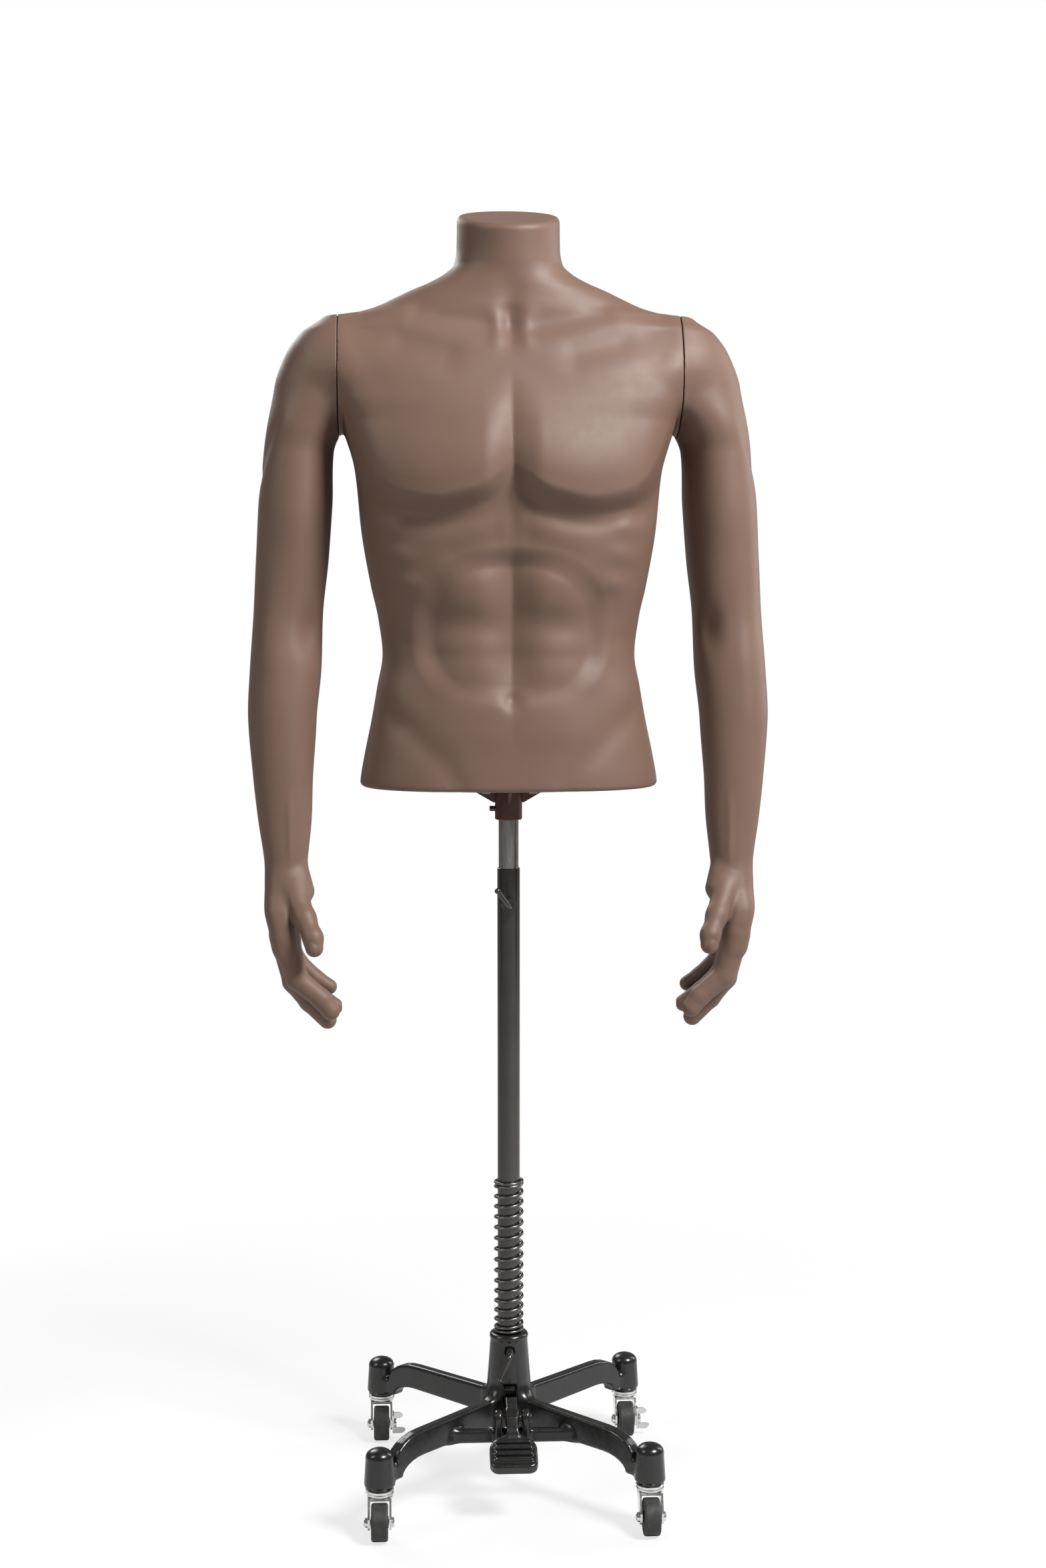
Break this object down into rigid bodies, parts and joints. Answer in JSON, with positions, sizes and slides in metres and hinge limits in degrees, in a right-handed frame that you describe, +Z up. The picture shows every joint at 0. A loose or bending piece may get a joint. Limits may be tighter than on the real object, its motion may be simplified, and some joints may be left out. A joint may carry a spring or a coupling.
{
  "type": "display mannequin on an adjustable stand",
  "caption": "Headless male display torso with detachable arms on a height-adjustable pedal stand with casters.",
  "frame": {"origin": "on the floor under the pole's axis", "axes": "+Z up along the pole, -Y out of the chest, +X towards the mannequin's own left arm"},
  "size_m": [0.5682, 0.3438, 1.4198],
  "materials": {
    "black_cast": "gloss black enamel over a sand-cast surface",
    "dark_steel": "satin dark grey, burnished",
    "spring_steel": "oil-blackened wire",
    "bright_steel": "drawn steel, satin",
    "zinc_plate": "bright zinc plate",
    "black_rubber": "matt black",
    "mannequin_paint": "satin taupe brown paint",
    "brown_paint": "red-brown paint over welded steel",
    "plywood": "raw plywood",
    "bronze": "sintered bronze",
    "friction_pad": "moulded friction lining",
    "black_plastic": "moulded black plastic"
  },
  "bodies": {
    "base": {"base_casting": "black_cast", "hub_bush": "bronze", "pedal_pin": "dark_steel", "pedal_spring": "spring_steel", "riser_spring": "spring_steel", "front_left_stem": "zinc_plate", "front_right_stem": "zinc_plate", "rear_left_stem": "zinc_plate", "rear_right_stem": "zinc_plate"},
    "pedal": {"foot_pedal": "black_cast"},
    "brake_shoe": {"brake_shoe": "friction_pad"},
    "base_lock": {"base_lock_screw": "dark_steel"},
    "pole": {"pole_tube": "dark_steel", "pole_lock_nut": "dark_steel", "pole_end_cap": "black_plastic"},
    "pole_lock": {"pole_lock_screw": "dark_steel"},
    "rod": {"upper_rod": "bright_steel", "rod_end_plug": "black_plastic"},
    "torso": {"torso_shell": "mannequin_paint", "base_board": "plywood", "flange_bolts": "zinc_plate", "board_nuts": "zinc_plate", "post_flange": "brown_paint", "left_socket_plate": "zinc_plate", "left_socket_screws": "bright_steel", "right_socket_plate": "zinc_plate", "right_socket_screws": "bright_steel"},
    "set_screw": {"post_set_screw": "dark_steel"},
    "left_cup": {"left_shoulder_cup": "bright_steel"},
    "left_arm": {"left_arm_shell": "mannequin_paint", "left_arm_plate": "zinc_plate", "left_arm_screws": "bright_steel"},
    "right_cup": {"right_shoulder_cup": "bright_steel"},
    "right_arm": {"right_arm_shell": "mannequin_paint", "right_arm_plate": "zinc_plate", "right_arm_screws": "bright_steel"},
    "front_left_caster": {"front_left_fork": "zinc_plate", "front_left_axle": "zinc_plate"},
    "front_left_wheel": {"front_left_wheel": "black_rubber"},
    "front_right_caster": {"front_right_fork": "zinc_plate", "front_right_axle": "zinc_plate"},
    "front_right_wheel": {"front_right_wheel": "black_rubber"},
    "rear_left_caster": {"rear_left_fork": "zinc_plate", "rear_left_axle": "zinc_plate"},
    "rear_left_wheel": {"rear_left_wheel": "black_rubber"},
    "rear_left_brake": {"rear_left_brake": "zinc_plate"},
    "rear_right_caster": {"rear_right_fork": "zinc_plate", "rear_right_axle": "zinc_plate"},
    "rear_right_wheel": {"rear_right_wheel": "black_rubber"},
    "rear_right_brake": {"rear_right_brake": "zinc_plate"}
  },
  "joints": [
    {"name": "pole_height", "type": "slide", "parent": "base", "child": "pole", "axis": [0, 0, 1], "range_m": [-0.06, 0], "stiffness_N_per_m": 3660, "springref_m": 0.02, "deforming": ["riser_spring"]},
    {"name": "rod_height", "type": "slide", "parent": "pole", "child": "rod", "axis": [0, 0, 1], "range_m": [-0.05, 0.25]},
    {"name": "torso_turn", "type": "hinge", "parent": "rod", "child": "torso", "pos_m": [0, 0, 0.77], "axis": [0, 0, 1], "continuous": true},
    {"name": "pedal_press", "type": "hinge", "parent": "base", "child": "pedal", "pos_m": [0, -0.072, 0.098], "axis": [1, 0, 0], "range_deg": [0, 8], "stiffness_Nm_per_rad": 2, "springref_deg": -8.59},
    {"name": "brake_shoe_release", "type": "slide", "parent": "base", "child": "brake_shoe", "axis": [0, -1, 0], "range_m": [0, 0.0006]},
    {"name": "base_lock_turn", "type": "hinge", "parent": "base", "child": "base_lock", "pos_m": [0, -0.02, 0.156], "axis": [0, -1, 0], "range_deg": [0, 180]},
    {"name": "pole_lock_turn", "type": "hinge", "parent": "pole", "child": "pole_lock", "pos_m": [0, -0.02, 0.659], "axis": [0, -1, 0], "range_deg": [0, 180]},
    {"name": "set_screw_turn", "type": "hinge", "parent": "torso", "child": "set_screw", "pos_m": [-0.015, 0, 0.765], "axis": [1, 0, 0], "continuous": true},
    {"name": "left_arm_turn", "type": "hinge", "parent": "torso", "child": "left_cup", "pos_m": [0.1834, 0.004, 1.243], "axis": [-1, 0, 0], "range_deg": [-45, 135]},
    {"name": "left_arm_pull", "type": "slide", "parent": "left_cup", "child": "left_arm", "axis": [1, 0, 0], "range_m": [0, 0.02]},
    {"name": "right_arm_turn", "type": "hinge", "parent": "torso", "child": "right_cup", "pos_m": [-0.1834, 0.004, 1.243], "axis": [-1, 0, 0], "range_deg": [-45, 135]},
    {"name": "right_arm_pull", "type": "slide", "parent": "right_cup", "child": "right_arm", "axis": [-1, 0, 0], "range_m": [0, 0.02]},
    {"name": "front_left_swivel", "type": "hinge", "parent": "base", "child": "front_left_caster", "pos_m": [0.145, -0.145, 0.05], "axis": [0, 0, 1], "continuous": true},
    {"name": "front_left_roll", "type": "hinge", "parent": "front_left_caster", "child": "front_left_wheel", "pos_m": [0.145, -0.162, 0.02], "axis": [1, 0, 0], "continuous": true},
    {"name": "front_right_swivel", "type": "hinge", "parent": "base", "child": "front_right_caster", "pos_m": [-0.145, -0.145, 0.05], "axis": [0, 0, 1], "continuous": true},
    {"name": "front_right_roll", "type": "hinge", "parent": "front_right_caster", "child": "front_right_wheel", "pos_m": [-0.145, -0.162, 0.02], "axis": [1, 0, 0], "continuous": true},
    {"name": "rear_left_swivel", "type": "hinge", "parent": "base", "child": "rear_left_caster", "pos_m": [0.145, 0.145, 0.05], "axis": [0, 0, 1], "continuous": true},
    {"name": "rear_left_roll", "type": "hinge", "parent": "rear_left_caster", "child": "rear_left_wheel", "pos_m": [0.145, 0.128, 0.02], "axis": [1, 0, 0], "continuous": true},
    {"name": "rear_left_brake_press", "type": "hinge", "parent": "rear_left_caster", "child": "rear_left_brake", "pos_m": [0.145, 0.128, 0.02], "axis": [1, 0, 0], "range_deg": [0, 20]},
    {"name": "rear_right_swivel", "type": "hinge", "parent": "base", "child": "rear_right_caster", "pos_m": [-0.145, 0.145, 0.05], "axis": [0, 0, 1], "continuous": true},
    {"name": "rear_right_roll", "type": "hinge", "parent": "rear_right_caster", "child": "rear_right_wheel", "pos_m": [-0.145, 0.128, 0.02], "axis": [1, 0, 0], "continuous": true},
    {"name": "rear_right_brake_press", "type": "hinge", "parent": "rear_right_caster", "child": "rear_right_brake", "pos_m": [-0.145, 0.128, 0.02], "axis": [1, 0, 0], "range_deg": [0, 20]}
  ],
  "couplings": [
    {"joint": "brake_shoe_release", "follows": "pedal_press", "m_per_rad": 0.0036}
  ]
}
